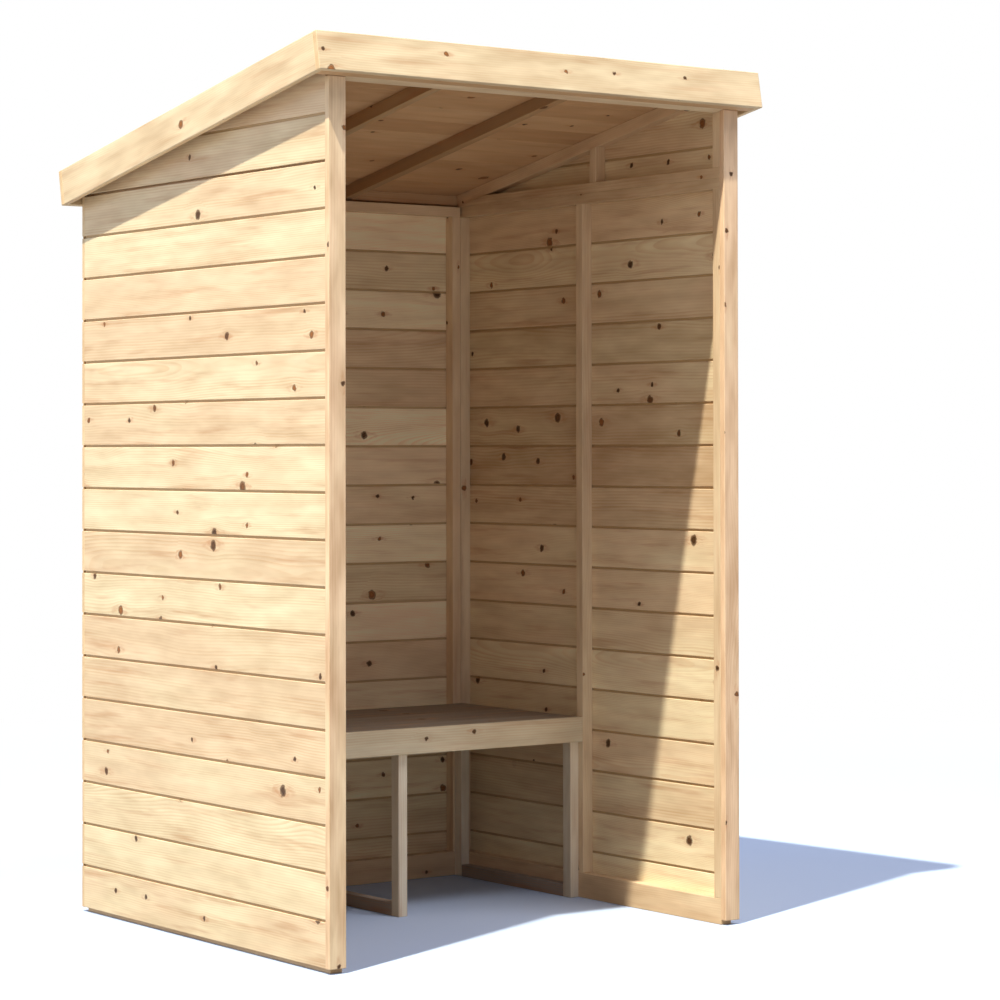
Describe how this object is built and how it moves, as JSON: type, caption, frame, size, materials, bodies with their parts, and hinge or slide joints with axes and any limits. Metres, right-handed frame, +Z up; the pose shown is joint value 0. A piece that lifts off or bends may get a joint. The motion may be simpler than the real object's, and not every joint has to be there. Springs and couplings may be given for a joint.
{
  "type": "garden arbor",
  "caption": "Open-fronted timber garden arbor with boarded side and back walls, a pent roof falling to the rear and a full-width bench.",
  "frame": {"origin": "centre of the overall plan, on the ground under the walls", "axes": "+X across the opening to the right of someone looking in, -Y out of the open front, +Z up"},
  "size_m": [1.37, 1.2962, 2.217],
  "materials": {
    "cladding": "planed, unfinished, satin",
    "roof_boards": "planed, unfinished, matte",
    "roof_framing": "planed, unfinished, matte",
    "framing": "planed, unfinished, matte",
    "trim": "planed, unfinished, satin",
    "fascia": "planed, unfinished, satin",
    "seat": "planed, darkened, matte",
    "bench_rail": "planed, unfinished, satin",
    "ground_timber": "planed, darkened by the ground, matte",
    "bench_frame": "planed, unfinished, matte"
  },
  "bodies": {
    "root": {"left_wall_bottom_rail": "framing", "right_wall_bottom_rail": "framing", "left_wall_front_stud": "framing", "right_wall_front_stud": "framing", "left_wall_middle_stud": "framing", "right_wall_middle_stud": "framing", "left_wall_rear_stud": "framing", "right_wall_rear_stud": "framing", "left_wall_top_rail": "framing", "right_wall_top_rail": "framing", "left_wall_cladding": "cladding", "right_wall_cladding": "cladding", "left_gable_bottom_rail": "framing", "right_gable_bottom_rail": "framing", "left_gable_studs": "framing", "right_gable_studs": "framing", "left_gable_cladding": "cladding", "right_gable_cladding": "cladding", "left_front_trim": "trim", "right_front_trim": "trim", "back_wall_bottom_rail": "framing", "back_wall_studs": "framing", "back_wall_top_rail": "framing", "back_wall_cladding": "cladding", "left_end_rafter": "framing", "left_middle_rafter": "roof_framing", "right_middle_rafter": "roof_framing", "right_end_rafter": "framing", "roof_front_bearer": "roof_boards", "roof_front_header": "framing", "roof_rear_bearer": "roof_boards", "roof_boards": "roof_boards", "front_fascia": "fascia", "rear_fascia": "fascia", "left_fascia": "fascia", "right_fascia": "fascia", "bench_front_rail": "bench_rail", "bench_seat": "seat", "bench_bearers": "bench_frame", "bench_front_legs": "bench_frame", "bench_rear_legs": "bench_frame", "bench_ground_rails": "ground_timber"}
  },
  "joints": []
}
